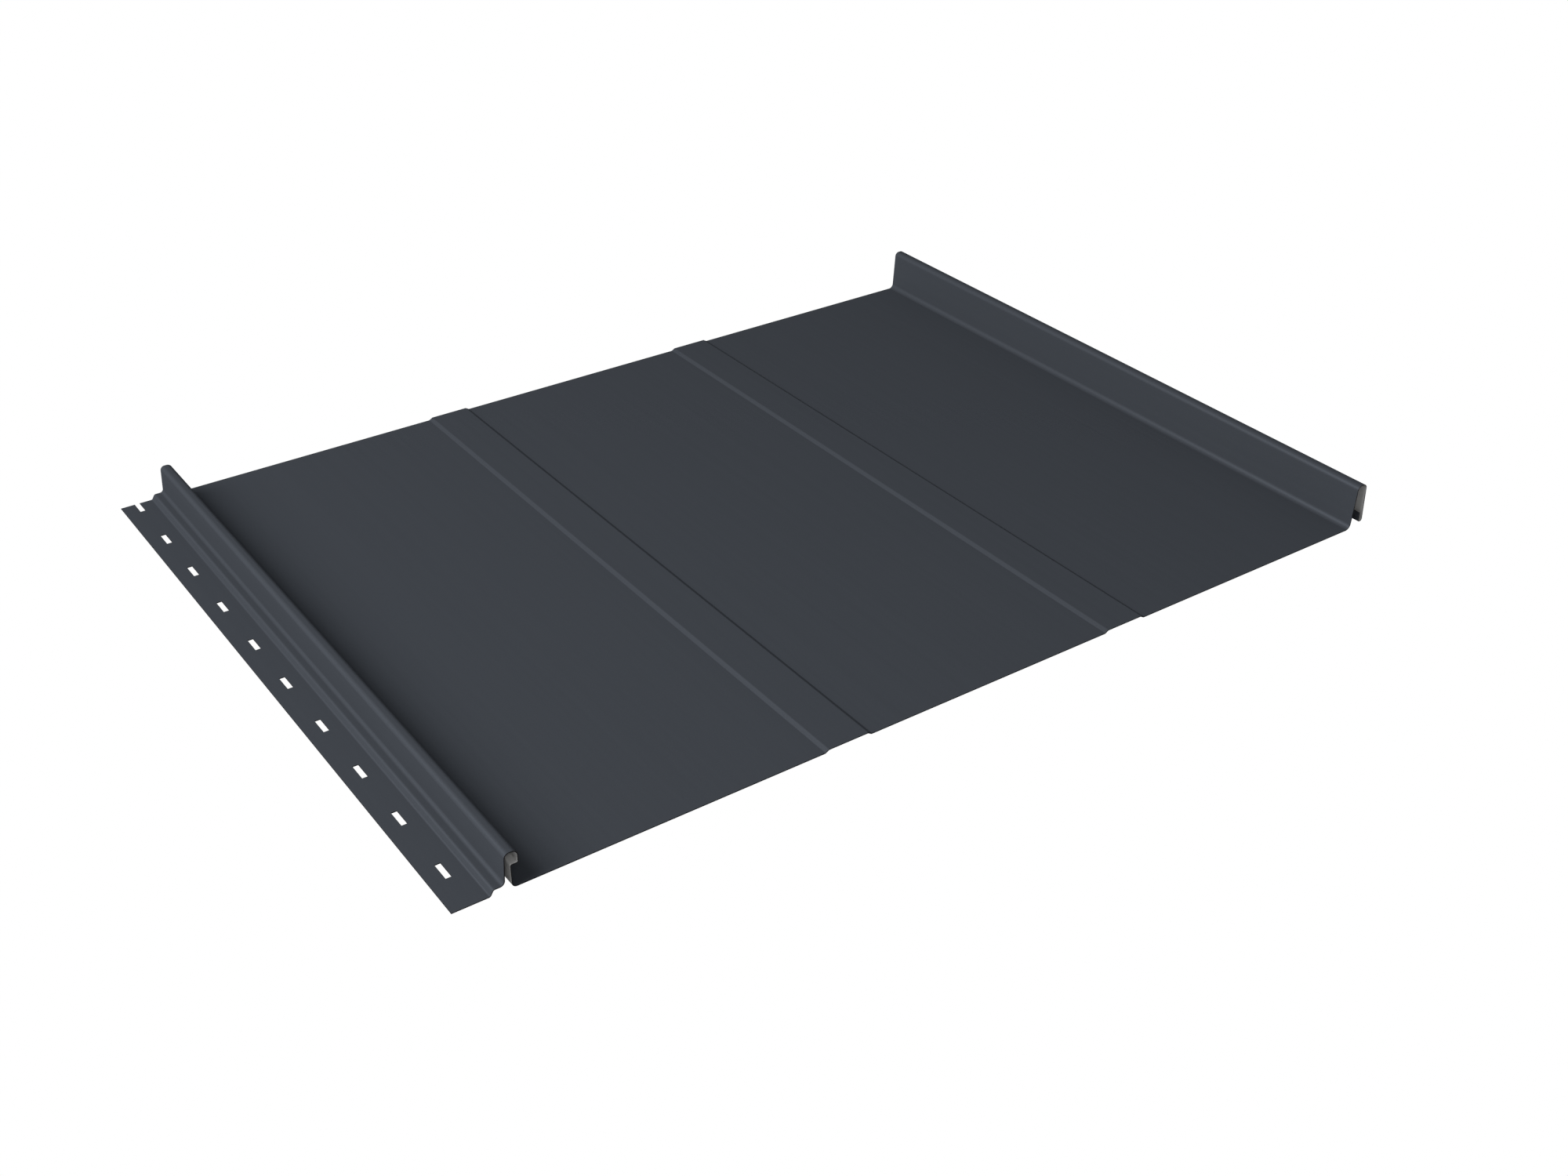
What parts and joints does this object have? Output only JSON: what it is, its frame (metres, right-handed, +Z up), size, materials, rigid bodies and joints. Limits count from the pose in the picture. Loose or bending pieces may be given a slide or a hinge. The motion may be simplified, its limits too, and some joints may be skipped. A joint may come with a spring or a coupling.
{
  "type": "standing seam roof panel",
  "caption": "Roll formed steel roof panel with a slotted nailing flange and hook seam on one side, a taller cover seam on the other and low stiffening ribs across a flat pan.",
  "frame": {"origin": "middle of the panel's outline, on the plane of the pan's underside", "axes": "+X across the panel from the nailing flange to the cover seam, +Y up the roof slope, +Z up, out of the painted face"},
  "size_m": [0.5425, 0.4, 0.0255],
  "materials": {
    "coated_steel": "matt charcoal paint on the face, grey back coat"
  },
  "bodies": {
    "root": {"seam_panel": "coated_steel"}
  },
  "joints": []
}
